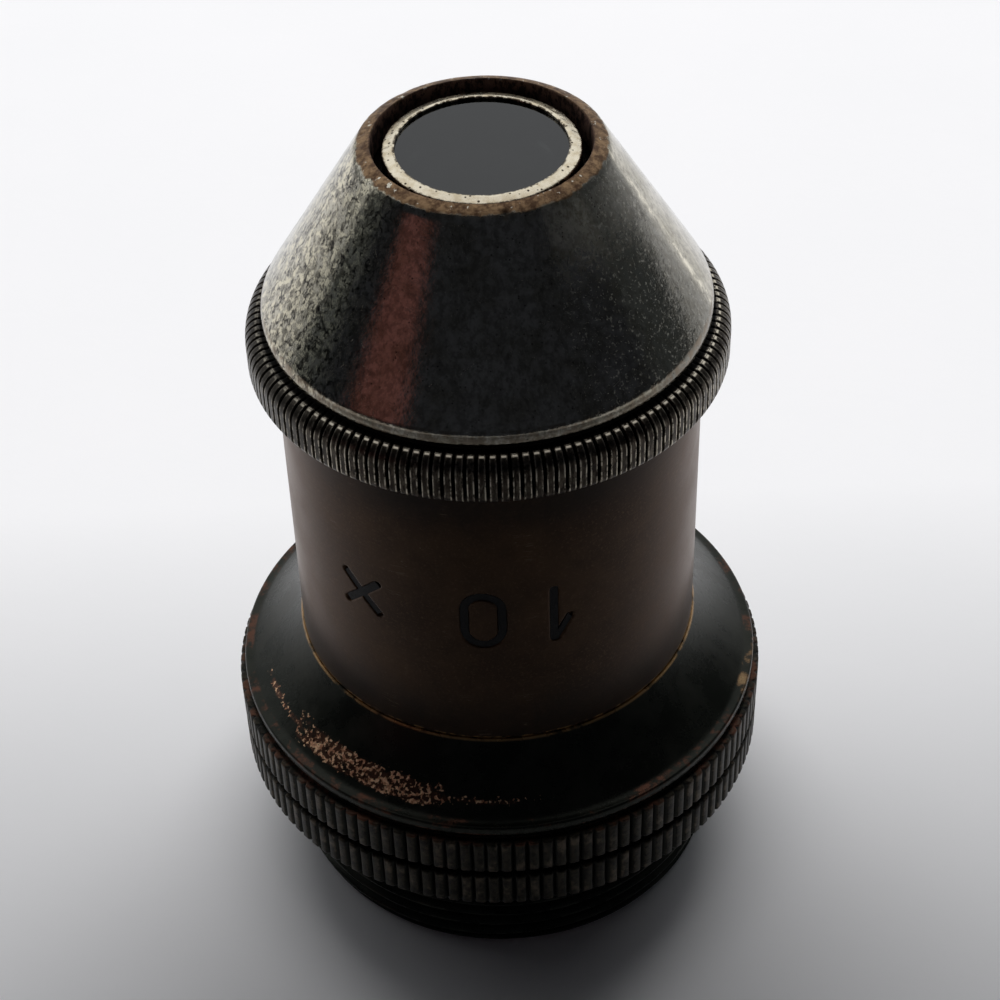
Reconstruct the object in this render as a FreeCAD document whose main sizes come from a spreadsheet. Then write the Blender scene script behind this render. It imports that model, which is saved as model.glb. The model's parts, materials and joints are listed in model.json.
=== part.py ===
"""A medium-power brass microscope objective, standing nose up on its mounting thread.

Frame: +Z runs from the mounting thread to the front lens, the optical axis is the Z axis and
Z = 0 is the rear face of the mounting thread.  Millimetres throughout.

Every size sits in the spreadsheet "sizes".  A Dim carries a value together with the expression
that gives it, so each sketch vertex and feature length stays bound to the sheet.
"""
import FreeCAD, Part

import math
import os

import Sketcher
from FreeCAD import Placement, Rotation, Vector

SIZES = {
    # thread adapter: Society thread under the lower knurled band
    "thread_radius": 10.13,
    "thread_pitch": 0.7056,
    "thread_depth": 0.45,
    "thread_flank": 0.5206,
    "thread_turns": 6,
    "thread_start": 0.85,
    "thread_lead_in": 0.45,
    "undercut_floor": 5.05,
    "undercut_radius": 9.6,
    "flange_floor": 5.9,
    "shoulder_relief_radius": 10.45,
    "shoulder_relief_depth": 0.15,
    "flange_radius": 12.24,
    "band_lower_top": 7.7,
    "adapter_bore_radius": 7.5,
    "adapter_ledge": 3.0,
    "edge_break": 0.12,
    "rear_bevel": 0.4,
    # barrel collar: upper knurled band, neck, lip and coved top, screwed into the adapter
    "collar_screw_radius": 8.9,
    "collar_screw_floor": 3.1,
    "collar_screw_turns": 8,
    "band_upper_floor": 8.1,
    "band_groove_radius": 11.86,
    "band_upper_top": 9.95,
    "neck_radius": 11.78,
    "lip_floor": 10.3,
    "lip_radius": 11.95,
    "lip_top": 10.75,
    "lip_inner_radius": 11.6,
    "cove_radius": 9.0,
    "foot_radius": 9.05,
    "foot_height": 13.3,
    "socket_floor": 9.2,
    # barrel and the two screw joints
    "barrel_radius": 9.0,
    "barrel_bore_radius": 7.05,
    "barrel_top": 28.0,
    "screw_pitch": 0.5,
    "screw_depth": 0.22,
    "running_gap": 0.04,
    "face_gap": 0.03,
    "foot_spigot_radius": 8.2,
    "nose_screw_radius": 8.3,
    "nose_screw_top": 30.4,
    "nose_screw_turns": 4,
    # engraved power mark, read with the nose down
    "mark_height": 20.55,
    "mark_size": 3.1,
    "mark_stroke": 0.34,
    "mark_depth": 0.16,
    "mark_fill_depth": 0.12,
    "one_azimuth": 15,
    "one_flag_reach": 0.78,
    "one_flag_root": 0.54,
    "one_flag_floor": 1.09,
    "one_flag_tip": 1.36,
    "zero_azimuth": 356,
    "zero_half_width": 0.96,
    "times_azimuth": 321,
    "times_arm": 0.96,
    "times_notch": 0.255,
    # aperture stop behind the lenses
    "stop_seat": 12.3,
    "stop_bore_radius": 7.35,
    "stop_gap": 0.06,
    "stop_thickness": 0.5,
    "stop_hole_radius": 4.4,
    "stop_ring_floor": 11.0,
    "stop_ring_hole_radius": 6.5,
    # lens tube, shim and glare baffle
    "shim_thickness": 0.2,
    "tube_flange_radius": 8.2,
    "tube_flange_thickness": 0.65,
    "tube_thread_radius": 7.03,
    "tube_thread_floor": 26.2,
    "tube_neck_radius": 6.3,
    "tube_floor": 17.6,
    "tube_front_bore_radius": 5.4,
    "tube_land_radius": 4.9,
    "tube_land_top": 25.6,
    "tube_land_floor": 24.6,
    "tube_rear_bore_radius": 5.5,
    "baffle_hole_radius": 3.6,
    "baffle_thickness": 0.4,
    "spring_ring_width": 0.5,
    "spring_ring_split": 1.6,
    "slip_gap": 0.02,
    # rear lens cell and cemented pair
    "rear_cell_floor": 17.0,
    "rear_cell_flange_radius": 6.15,
    "rear_cell_top": 24.3,
    "rear_cell_bore_radius": 4.98,
    "rear_seat": 23.57,
    "rear_lip_radius": 4.4,
    "rear_lens_radius": 4.95,
    "rear_flint_thickness": 1.0,
    "rear_crown_thickness": 2.6,
    "rear_cement_curve": 12.0,
    "rear_outer_curve": 14.0,
    "rear_ring_floor": 19.0,
    # front lens cell and cemented pair
    "front_cell_floor": 34.2,
    "front_cell_radius": 4.98,
    "front_cell_shoulder": 36.87,
    "bezel_radius": 3.94,
    "bezel_edge": 37.66,
    "bezel_inner_edge": 37.95,
    "bezel_curve": 0.5,
    "front_clear_radius": 3.43,
    "front_cell_bore_radius": 3.77,
    "front_seat": 37.82,
    "front_lens_radius": 3.74,
    "front_flint_thickness": 0.8,
    "front_crown_thickness": 2.2,
    "front_cement_curve": 8.5,
    "front_outer_curve": 8.5,
    "front_ring_hole_radius": 3.1,
    "front_ring_floor": 34.45,
    "cement_film": 0.01,
    "spanner_slot_width": 0.6,
    "spanner_slot_depth": 0.4,
    # nose cap: conical shell above a rounded knurled ring
    "ring_radius": 10.1,
    "ring_foot_radius": 9.78,
    "ring_side_floor": 28.35,
    "ring_side_top": 29.3,
    "ring_foot_curve": 0.36,
    "ring_shoulder_curve": 0.85,
    "ring_top_radius": 9.52,
    "ring_top": 30.11,
    "seam_radius": 9.16,
    "seam_top": 30.5,
    "cap_bead_radius": 9.34,
    "cone_base_radius": 9.21,
    "cone_base": 31.04,
    "rim_radius": 5.0,
    "rim_height": 38.0,
    "rim_inner_height": 38.14,
    "rim_curve": 0.42,
    "nose_hole_radius": 4.38,
    "cap_seat": 36.9,
    "cell_socket_radius": 5.04,
    "cell_socket_floor": 34.0,
    "cap_inner_top_radius": 5.9,
    "cap_inner_base_radius": 7.7,
    "cap_shoulder": 31.45,
    # knurling
    "flange_teeth": 126,
    "flange_knurl_depth": 0.2,
    "flange_knurl_fill": 0.46,
    "ring_teeth": 142,
    "ring_knurl_depth": 0.2,
    "ring_knurl_fill": 0.86,
    # cutters: how far they start outside the surface, per depth, and how far they run past it
    "cutter_overcut": 0.2,
    "cutter_run_out": 1.0,
}
LEAST_CUT = 1e-4  # cubic millimetres; a smaller loss means that a cut missed


class Dim:
    """A length or ratio with its value and the spreadsheet expression that gives it."""

    def __init__(self, value, text):
        self.value = float(value)
        self.text = text

    def __add__(self, other):
        other = as_dim(other)
        return Dim(self.value + other.value, f"({self.text} + {other.text})")

    def __sub__(self, other):
        other = as_dim(other)
        return Dim(self.value - other.value, f"({self.text} - {other.text})")

    def __mul__(self, other):
        other = as_dim(other)
        return Dim(self.value * other.value, f"({self.text} * {other.text})")

    def __truediv__(self, other):
        other = as_dim(other)
        return Dim(self.value / other.value, f"({self.text} / {other.text})")

    def __neg__(self):
        return self * -1


def as_dim(number):
    """Wrap a plain number so that it can be used beside a Dim."""
    return number if isinstance(number, Dim) else Dim(number, repr(number))


def size(alias):
    """The Dim of one spreadsheet cell."""
    return Dim(SIZES[alias], f"sizes.{alias}")


def sag(curve, radius):
    """Height of a spherical cap of the given curve radius over a chord of half-width radius."""
    value = curve.value - math.sqrt(curve.value**2 - radius.value**2)
    return Dim(value, f"({curve.text} - sqrt({curve.text} ^ 2 - {radius.text} ^ 2))")


def make_sheet(doc):
    """Write every driving size to the spreadsheet, one aliased cell per row."""
    sheet = doc.addObject("Spreadsheet::Sheet", "sizes")
    for row, (alias, value) in enumerate(SIZES.items(), start=1):
        sheet.set(f"A{row}", alias)
        sheet.set(f"B{row}", str(value))
        sheet.setAlias(f"B{row}", alias)
    doc.recompute()


def origin_feature(body, role):
    """One of the body's own origin planes or axes."""
    return next(item for item in body.Origin.OriginFeatures if item.Role == role)


def new_body(doc, label):
    body = doc.addObject("PartDesign::Body", label)
    body.Label = label
    return body


def arc_between(start, end, radius, side):
    """The short arc from start to end; side +1 bulges to the left of travel, -1 to the right."""
    chord = end - start
    middle = (start + end) * 0.5
    left = Vector(-chord.y, chord.x, 0).normalize()
    height = radius - math.sqrt(radius**2 - (chord.Length / 2) ** 2)
    return Part.Arc(start, middle + left * (side * height), end)


def draw_outline(sketch, outline):
    """Draw a closed outline of (x, y) vertices; (x, y, radius, side) starts an arc instead."""
    outline = [(as_dim(v[0]), as_dim(v[1]), *v[2:]) for v in outline]
    spots = [Vector(v[0].value, v[1].value, 0) for v in outline]
    ends = []
    for index, vertex in enumerate(outline):
        start, end = spots[index], spots[(index + 1) % len(spots)]
        if len(vertex) == 2:
            edge = sketch.addGeometry(Part.LineSegment(start, end))
            ends.append((edge, 1, 2))
            continue
        radius, side = vertex[2], vertex[3]
        edge = sketch.addGeometry(arc_between(start, end, radius.value, side))
        # an arc's own points run anticlockwise, so one that bulges left runs backwards
        ends.append((edge, 2, 1) if side > 0 else (edge, 1, 2))
        bound = sketch.addConstraint(Sketcher.Constraint("Radius", edge, radius.value))
        sketch.setExpression(f"Constraints[{bound}]", radius.text)
    for index, (edge, start, end) in enumerate(ends):
        following, its_start, _ = ends[(index + 1) % len(ends)]
        sketch.addConstraint(Sketcher.Constraint("Coincident", edge, end, following, its_start))
    for index, vertex in enumerate(outline):
        edge, start, _ = ends[index]
        hold_point(sketch, edge, start, vertex)


def hold_point(sketch, edge, point, vertex):
    """Hold one end of an edge at the vertex, bound to the spreadsheet."""
    for kind, length, axis in (("DistanceX", vertex[0], -2), ("DistanceY", vertex[1], -1)):
        if length.value == 0:
            sketch.addConstraint(Sketcher.Constraint("PointOnObject", edge, point, axis))
            continue
        held = sketch.addConstraint(Sketcher.Constraint(kind, -1, 1, edge, point, length.value))
        sketch.setExpression(f"Constraints[{held}]", length.text)


def new_sketch(body, name, plane="XZ_Plane", lift=None):
    """A sketch on one of the body's origin planes, optionally lifted along the plane's normal."""
    sketch = body.newObject("Sketcher::SketchObject", name)
    sketch.AttachmentSupport = (origin_feature(body, plane), "")
    sketch.MapMode = "FlatFace"
    if lift is not None:
        sketch.AttachmentOffset = Placement(Vector(0, 0, lift.value), Rotation())
        sketch.setExpression("AttachmentOffset.Base.z", lift.text)
    return sketch


def turned(doc, label, outline):
    """A body of revolution about the optical axis."""
    body = new_body(doc, label)
    sketch = new_sketch(body, f"{label}_outline")
    draw_outline(sketch, outline)
    turn = body.newObject("PartDesign::Revolution", f"{label}_turning")
    turn.Profile = sketch
    turn.ReferenceAxis = (sketch, ["V_Axis"])
    turn.Angle = 360
    doc.recompute()
    return body


def cut_volume(doc, body, feature):
    """Recompute and make sure that the feature took material off."""
    before = body.Shape.Volume
    doc.recompute()
    if body.Shape.Volume > before - LEAST_CUT:
        raise RuntimeError(f"{feature.Name} cuts nothing from {body.Label}")


def past_surface(radius, depth, half):
    """Radius and half-width of a V cutter's open end, a little outside the surface it enters."""
    return radius + depth * size("cutter_overcut"), half * (size("cutter_overcut") + 1)


def cut_thread(doc, body, name, crest, depth, pitch, floor, turns):
    """Cut evenly spaced V grooves round a male thread; floor is the middle of the lowest."""
    sketch = new_sketch(body, f"{name}_form")
    outer, flare = past_surface(crest, depth, depth * size("thread_flank"))
    draw_outline(sketch, [(crest - depth, floor), (outer, floor - flare), (outer, floor + flare)])
    groove = body.newObject("PartDesign::Groove", f"{name}_groove")
    groove.Profile = sketch
    groove.ReferenceAxis = (sketch, ["V_Axis"])
    groove.Angle = 360
    cut_volume(doc, body, groove)
    rows = body.newObject("PartDesign::LinearPattern", f"{name}_rows")
    rows.Originals = [groove]
    rows.Direction = (origin_feature(body, "Z_Axis"), [""])
    rows.Occurrences = int(turns.value)
    rows.setExpression("Occurrences", turns.text)
    rows.Length = (pitch * (turns - 1)).value
    rows.setExpression("Length", (pitch * (turns - 1)).text)
    body.Tip = rows
    cut_volume(doc, body, rows)


def tooth_gap(radius, depth, teeth, fill):
    """The V-shaped gap between two knurl teeth, drawn across the axis at +X."""
    half = radius * math.pi / teeth * fill
    outer, flare = past_surface(radius, depth, half)
    return [(radius - depth, 0), (outer, -flare), (outer, flare)]


def repeat_round(doc, body, features, teeth, name):
    """Repeat features evenly round the optical axis."""
    pattern = body.newObject("PartDesign::PolarPattern", name)
    pattern.Originals = features
    pattern.Axis = (origin_feature(body, "Z_Axis"), [""])
    pattern.Angle = 360
    pattern.Occurrences = int(teeth.value)
    pattern.setExpression("Occurrences", teeth.text)
    body.Tip = pattern
    cut_volume(doc, body, pattern)


def knurl_band(doc, body, name, floor, top):
    """Cut straight knurling into one band of the flange."""
    radius, depth = size("flange_radius"), size("flange_knurl_depth")
    teeth = size("flange_teeth")
    sketch = new_sketch(body, f"{name}_gap", "XY_Plane", floor)
    draw_outline(sketch, tooth_gap(radius, depth, teeth, size("flange_knurl_fill")))
    pocket = body.newObject("PartDesign::Pocket", f"{name}_cut")
    pocket.Profile = sketch
    pocket.Length = (top - floor).value
    pocket.setExpression("Length", (top - floor).text)
    pocket.Reversed = True
    cut_volume(doc, body, pocket)
    repeat_round(doc, body, [pocket], teeth, f"{name}_teeth")


def spanner_slots(doc, body, floor, outer):
    """Cut the two slots that a pin spanner turns a retaining ring by."""
    half = size("spanner_slot_width") / 2
    sketch = new_sketch(body, f"{body.Label}_slots", "XY_Plane", floor)
    reach = outer + size("cutter_run_out")
    corners = [(-reach, -half), (reach, -half), (reach, half), (-reach, half)]
    draw_outline(sketch, corners)
    pocket = body.newObject("PartDesign::Pocket", f"{body.Label}_slotting")
    pocket.Profile = sketch
    pocket.Length = size("spanner_slot_depth").value
    pocket.setExpression("Length", size("spanner_slot_depth").text)
    pocket.Reversed = True
    cut_volume(doc, body, pocket)


def ring_piece(doc, label, inner, outer, floor, top):
    """A plain turned washer or ring."""
    return turned(doc, label, [(inner, floor), (outer, floor), (outer, top), (inner, top)])


def thread_adapter(doc):
    """Society-thread adapter with the lower knurled band; the fixed piece."""
    thread, lead = size("thread_radius"), size("thread_lead_in")
    bore, bevel = size("adapter_bore_radius"), size("rear_bevel")
    socket = size("collar_screw_radius") + size("running_gap")
    flange, edge, undercut = size("flange_radius"), size("edge_break"), size("undercut_radius")
    floor, top = size("flange_floor"), size("band_lower_top")
    relief = size("shoulder_relief_radius")
    body = turned(doc, "thread_adapter", [
        (bore + bevel, 0),
        (thread - lead, 0),
        (thread, lead),
        (thread, size("undercut_floor")),
        (undercut, size("undercut_floor") + edge),
        (undercut, floor + size("shoulder_relief_depth")),
        (relief, floor),
        (flange - edge, floor),
        (flange, floor + edge),
        (flange, top - edge),
        (flange - edge, top),
        (socket, top),
        (socket, size("adapter_ledge")),
        (bore, size("adapter_ledge")),
        (bore, bevel),
    ])
    cut_thread(doc, body, "society_thread", thread, size("thread_depth"),
               size("thread_pitch"), size("thread_start"), size("thread_turns"))
    knurl_band(doc, body, "lower_band", floor, top)
    return body


def barrel_collar(doc):
    """Coved collar with the upper knurled band, screwed down into the adapter."""
    bore, screw = size("adapter_bore_radius"), size("collar_screw_radius")
    socket = size("foot_spigot_radius") + size("slip_gap")
    flange, edge, groove = size("flange_radius"), size("edge_break"), size("band_groove_radius")
    seat = size("band_lower_top") + size("face_gap")
    floor, top = size("band_upper_floor"), size("band_upper_top")
    lip, lip_top = size("lip_radius"), size("lip_top")
    body = turned(doc, "barrel_collar", [
        (bore, size("collar_screw_floor")),
        (screw - edge, size("collar_screw_floor")),
        (screw, size("collar_screw_floor") + edge),
        (screw, seat),
        (groove, seat),
        (groove, floor),
        (flange - edge, floor),
        (flange, floor + edge),
        (flange, top - edge),
        (flange - edge, top),
        (size("neck_radius"), top),
        (size("neck_radius"), size("lip_floor")),
        (lip, size("lip_floor")),
        (lip, lip_top - edge),
        (lip - edge, lip_top),
        (size("lip_inner_radius"), lip_top, size("cove_radius"), 1),
        (size("foot_radius"), size("foot_height")),
        (socket, size("foot_height")),
        (socket, size("socket_floor")),
        (bore, size("socket_floor")),
    ])
    cut_thread(doc, body, "collar_screw", screw, size("screw_depth"), size("screw_pitch"),
               size("collar_screw_floor") + size("screw_pitch"), size("collar_screw_turns"))
    knurl_band(doc, body, "upper_band", floor, top)
    return body


def barrel_blank(doc):
    """The barrel before engraving: a tube with a plain foot spigot and a screwed nose spigot."""
    bore, stop_bore = size("barrel_bore_radius"), size("stop_bore_radius")
    foot, screw = size("foot_spigot_radius"), size("nose_screw_radius")
    side, edge = size("barrel_radius"), size("edge_break")
    shoulder = size("foot_height") + size("slip_gap")
    floor, top = size("socket_floor") + size("slip_gap"), size("nose_screw_top")
    body = turned(doc, "barrel_blank", [
        (stop_bore, floor),
        (foot - edge, floor),
        (foot, floor + edge),
        (foot, shoulder),
        (side - edge, shoulder),
        (side, shoulder + edge),
        (side, size("barrel_top") - edge),
        (side - edge, size("barrel_top")),
        (screw, size("barrel_top")),
        (screw, top - edge),
        (screw - edge, top),
        (bore, top),
        (bore, size("stop_seat")),
        (stop_bore, size("stop_seat")),
    ])
    cut_thread(doc, body, "nose_screw", screw, size("screw_depth"), size("screw_pitch"),
               size("barrel_top") + size("screw_pitch"), size("nose_screw_turns"))
    return body


def glyph(doc, name, azimuth, outlines):
    """One engraved character as a prism that points out of the barrel at the azimuth."""
    body = new_body(doc, name)
    sketch = new_sketch(body, f"{name}_outline")
    for outline in outlines:
        draw_outline(sketch, outline)
    pad = body.newObject("PartDesign::Pad", f"{name}_prism")
    pad.Profile = sketch
    reach = size("barrel_radius") + size("cutter_run_out")
    pad.Length = reach.value
    pad.setExpression("Length", reach.text)
    body.Placement = Placement(Vector(0, 0, 0), Rotation(Vector(0, 0, 1), azimuth.value))
    body.setExpression("Placement.Rotation.Angle", azimuth.text)
    doc.recompute()
    return body


def oval(half_width, half_height, middle):
    """An upright oval made of two straight sides and two half circles."""
    straight = half_height - half_width
    return [
        (-half_width, middle - straight, half_width, -1),
        (0, middle - straight - half_width, half_width, -1),
        (half_width, middle - straight),
        (half_width, middle + straight, half_width, -1),
        (0, middle + straight + half_width, half_width, -1),
        (-half_width, middle + straight),
    ]


def power_mark(doc):
    """The figures of a generic magnification, one prism each, upside down when the nose is up."""
    middle, half = size("mark_height"), size("mark_size") / 2
    pen = size("mark_stroke") / 2
    low, high = middle - half, middle + half
    reach = size("one_flag_reach")
    one = [
        (-pen, low), (pen, low), (reach, low + size("one_flag_floor")),
        (reach - pen, low + size("one_flag_tip")), (pen, low + size("one_flag_root")),
        (pen, high), (-pen, high),
    ]
    width = size("zero_half_width")
    zero = [oval(width, half, middle), oval(width - pen * 2, half - pen * 2, middle)]
    arm, notch = size("times_arm"), size("times_notch")
    times = [
        (-arm, middle - arm + notch), (-arm + notch, middle - arm), (0, middle - notch),
        (arm - notch, middle - arm), (arm, middle - arm + notch), (notch, middle),
        (arm, middle + arm - notch), (arm - notch, middle + arm), (0, middle + notch),
        (-arm + notch, middle + arm), (-arm, middle + arm - notch), (-notch, middle),
    ]
    return [
        glyph(doc, "figure_one", size("one_azimuth"), [one]),
        glyph(doc, "figure_zero", size("zero_azimuth"), zero),
        glyph(doc, "times_sign", size("times_azimuth"), [times]),
    ]


def shell(doc, name, inner, outer):
    """A thin tube about the optical axis, tall enough to hold the engraving."""
    low = size("mark_height") - size("mark_size")
    high = size("mark_height") + size("mark_size")
    return ring_piece(doc, name, inner, outer, low, high)


def boolean(doc, kind, label, **inputs):
    result = doc.addObject(kind, label)
    for key, value in inputs.items():
        setattr(result, key, value)
    doc.recompute()
    return result


def engraved_barrel(doc):
    """The barrel with its engraved mark, and the black wax that fills the engraving."""
    side = size("barrel_radius")
    mark = boolean(doc, "Part::MultiFuse", "power_mark", Shapes=power_mark(doc))
    depth = size("mark_depth")
    cut_shell = shell(doc, "engraving_shell", side - depth, side + depth)
    wax_shell = shell(doc, "wax_shell", side - depth, side - depth + size("mark_fill_depth"))
    cutter = boolean(doc, "Part::Common", "engraving_cutter", Base=mark, Tool=cut_shell)
    barrel = boolean(doc, "Part::Cut", "barrel_tube", Base=barrel_blank(doc), Tool=cutter)
    wax = boolean(doc, "Part::Common", "engraving_wax", Base=mark, Tool=wax_shell)
    return [barrel, wax]


def aperture_stop(doc):
    """Thin blackened disc that limits the cone of light, bevelled to a sharp edge."""
    outer = size("stop_bore_radius") - size("stop_gap")
    top = size("stop_seat") - size("stop_gap")
    floor = top - size("stop_thickness")
    hole, edge = size("stop_hole_radius"), size("edge_break")
    stop = turned(doc, "aperture_stop", [
        (hole + size("stop_thickness"), floor), (outer, floor), (outer, top), (hole, top),
        (hole, top - edge),
    ])
    ring = ring_piece(doc, "stop_retaining_ring", size("stop_ring_hole_radius"), outer,
                      size("stop_ring_floor"), floor)
    spanner_slots(doc, ring, size("stop_ring_floor"), outer)
    return [stop, ring]


def lens_tube(doc):
    """The blackened tube that hangs in the barrel and holds the rear cell and the glare baffle."""
    shim_floor = size("nose_screw_top")
    flange_floor = shim_floor + size("shim_thickness")
    flange_top = flange_floor + size("tube_flange_thickness")
    thread, neck = size("tube_thread_radius"), size("tube_neck_radius")
    front, land, rear = (size("tube_front_bore_radius"), size("tube_land_radius"),
                         size("tube_rear_bore_radius"))
    tube = turned(doc, "lens_tube", [
        (rear, size("tube_floor")), (neck, size("tube_floor")),
        (neck, size("tube_thread_floor")), (thread, size("tube_thread_floor")),
        (thread, flange_floor), (size("tube_flange_radius"), flange_floor),
        (size("tube_flange_radius"), flange_top), (front, flange_top),
        (front, size("tube_land_top")), (land, size("tube_land_top")),
        (land, size("tube_land_floor")), (rear, size("tube_land_floor")),
    ])
    shim = ring_piece(doc, "spacing_shim", thread + size("slip_gap"),
                      size("tube_flange_radius"), shim_floor, flange_floor)
    outer = front - size("slip_gap")
    baffle_top = size("tube_land_top") + size("baffle_thickness")
    baffle = ring_piece(doc, "glare_baffle", size("baffle_hole_radius"), outer,
                        size("tube_land_top"), baffle_top)
    spring = split_ring(doc, outer, baffle_top)
    return [tube, shim, baffle, spring]


def split_ring(doc, outer, floor):
    """Springy split ring that holds the glare baffle on its land."""
    width = size("spring_ring_width")
    ring = ring_piece(doc, "baffle_spring_ring", outer - width, outer, floor, floor + width)
    half = size("spring_ring_split") / 2
    sketch = new_sketch(ring, "split_outline", "XY_Plane", floor)
    reach = outer + size("cutter_run_out")
    draw_outline(sketch, [(0, -half), (reach, -half), (reach, half), (0, half)])
    pocket = ring.newObject("PartDesign::Pocket", "split_cut")
    pocket.Profile = sketch
    pocket.Length = width.value
    pocket.setExpression("Length", width.text)
    pocket.Reversed = True
    cut_volume(doc, ring, pocket)
    return ring


def cemented_pair(doc, end, front_face):
    """Flint and crown of one achromatic pair, flat flint face to the front."""
    radius = size(f"{end}_lens_radius")
    inner, outer = size(f"{end}_cement_curve"), size(f"{end}_outer_curve")
    joint = front_face - size(f"{end}_flint_thickness")
    flint = turned(doc, f"{end}_flint_lens", [
        (0, joint, inner, 1), (radius, joint - sag(inner, radius)),
        (radius, front_face), (0, front_face),
    ])
    crest = joint - size("cement_film")
    back = joint - size(f"{end}_crown_thickness")
    crown = turned(doc, f"{end}_crown_lens", [
        (0, back, outer, -1), (radius, back + sag(outer, radius)),
        (radius, crest - sag(inner, radius), inner, -1), (0, crest),
    ])
    return [flint, crown], back


def retaining_ring(doc, end, hole, back):
    """Slotted ring screwed in behind a lens pair; its inner edge bears on the crown."""
    outer = size(f"{end}_lens_radius")
    floor = size(f"{end}_ring_floor")
    top = back + sag(size(f"{end}_outer_curve"), hole) - size("slip_gap")
    ring = ring_piece(doc, f"{end}_retaining_ring", hole, outer, floor, top)
    spanner_slots(doc, ring, floor, outer)
    return ring


def rear_cell(doc):
    """Rear lens cell with its cemented pair, screwed up into the lens tube."""
    bore, lip = size("rear_cell_bore_radius"), size("rear_lip_radius")
    thread = size("tube_rear_bore_radius") - size("running_gap")
    flange = size("rear_cell_flange_radius")
    cell = turned(doc, "rear_cell", [
        (bore, size("rear_cell_floor")), (flange, size("rear_cell_floor")),
        (flange, size("tube_floor")), (thread, size("tube_floor")),
        (thread, size("rear_cell_top")), (lip, size("rear_cell_top")),
        (lip, size("rear_seat")), (bore, size("rear_seat")),
    ])
    pair, back = cemented_pair(doc, "rear", size("rear_seat") - size("slip_gap"))
    return [cell, *pair, retaining_ring(doc, "rear", lip, back)]


def front_cell(doc):
    """Front lens cell with its burnished bezel and cemented pair, screwed into the nose cap."""
    bore, bezel = size("front_cell_bore_radius"), size("bezel_radius")
    side, clear = size("front_cell_radius"), size("front_clear_radius")
    cell = turned(doc, "front_cell", [
        (bore, size("front_cell_floor")), (side, size("front_cell_floor")),
        (side, size("front_cell_shoulder")), (bezel, size("front_cell_shoulder")),
        (bezel, size("bezel_edge"), size("bezel_curve"), -1),
        (clear, size("bezel_inner_edge")), (clear, size("front_seat")),
        (bore, size("front_seat")),
    ])
    pair, back = cemented_pair(doc, "front", size("front_seat") - size("slip_gap"))
    return [cell, *pair, retaining_ring(doc, "front", size("front_ring_hole_radius"), back)]


def nose_cap(doc):
    """Conical nose over a rounded knurled ring, screwed onto the barrel."""
    socket = size("nose_screw_radius") + size("running_gap")
    floor = size("barrel_top") + size("face_gap")
    side, hole = size("ring_radius"), size("nose_hole_radius")
    seam = size("seam_radius")
    body = turned(doc, "nose_cap", [
        (socket, floor),
        (size("ring_foot_radius"), floor, size("ring_foot_curve"), -1),
        (side, size("ring_side_floor")),
        (side, size("ring_side_top"), size("ring_shoulder_curve"), -1),
        (size("ring_top_radius"), size("ring_top")),
        (seam, size("ring_top")),
        (seam, size("seam_top")),
        (size("cap_bead_radius"), size("seam_top")),
        (size("cone_base_radius"), size("cone_base")),
        (size("rim_radius"), size("rim_height"), size("rim_curve"), -1),
        (hole, size("rim_inner_height")),
        (hole, size("cap_seat")),
        (size("cell_socket_radius"), size("cap_seat")),
        (size("cell_socket_radius"), size("cell_socket_floor")),
        (size("cap_inner_top_radius"), size("cell_socket_floor")),
        (size("cap_inner_base_radius"), size("cap_shoulder")),
        (socket, size("cap_shoulder")),
    ])
    knurl_rounded_ring(doc, body, floor)
    return body


def knurl_rounded_ring(doc, body, floor):
    """Cut the nose ring's teeth along its side and over its rounded shoulder."""
    side, depth, teeth = size("ring_radius"), size("ring_knurl_depth"), size("ring_teeth")
    start = floor - depth
    gap = new_sketch(body, "ring_gap", "XY_Plane", start)
    draw_outline(gap, tooth_gap(side, depth, teeth, size("ring_knurl_fill")))
    path = new_sketch(body, "ring_path")
    draw_path(path, side, start)
    pipe = body.newObject("PartDesign::SubtractivePipe", "ring_tooth_gap")
    pipe.Profile = gap
    pipe.Spine = path
    cut_volume(doc, body, pipe)
    repeat_round(doc, body, [pipe], teeth, "ring_knurl")


def draw_path(sketch, side, start):
    """The line up the ring's side and the arc over its shoulder."""
    bend, top = size("ring_side_top"), size("ring_top")
    inner, curve = size("ring_top_radius"), size("ring_shoulder_curve")
    line = sketch.addGeometry(Part.LineSegment(Vector(side.value, start.value, 0),
                                               Vector(side.value, bend.value, 0)))
    arc = sketch.addGeometry(arc_between(Vector(side.value, bend.value, 0),
                                         Vector(inner.value, top.value, 0), curve.value, -1))
    hold_point(sketch, line, 1, (side, start))
    hold_point(sketch, line, 2, (side, bend))
    sketch.addConstraint(Sketcher.Constraint("Coincident", line, 2, arc, 1))
    hold_point(sketch, arc, 2, (inner, top))
    bound = sketch.addConstraint(Sketcher.Constraint("Radius", arc, curve.value))
    sketch.setExpression(f"Constraints[{bound}]", curve.text)


def check_document(doc, pieces):
    """Stop if any object failed to recompute or any piece has no valid solid."""
    for item in doc.Objects:
        if "Invalid" in item.State or "Error" in item.State:
            raise RuntimeError(f"{item.Label} is {item.State}")
    for piece in pieces:
        if piece.Shape.isNull() or not piece.Shape.isValid() or not piece.Shape.Solids:
            raise RuntimeError(f"{piece.Label} has no valid solid")


def main():
    doc = FreeCAD.newDocument("microscope_objective")
    make_sheet(doc)
    pieces = [thread_adapter(doc), barrel_collar(doc), *engraved_barrel(doc),
              *aperture_stop(doc), *lens_tube(doc), *rear_cell(doc), *front_cell(doc),
              nose_cap(doc)]
    doc.recompute()
    check_document(doc, pieces)
    os.makedirs("parts", exist_ok=True)
    for piece in pieces:
        piece.Shape.exportStep(f"parts/{piece.Label}.step")
        box = piece.Shape.BoundBox
        print(f"{piece.Label:22s} {len(piece.Shape.Solids)} solid  {piece.Shape.Volume:9.2f} mm3"
              f"  z {box.ZMin:6.2f} to {box.ZMax:6.2f}  r {box.XMax:5.2f}")


main()
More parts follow.
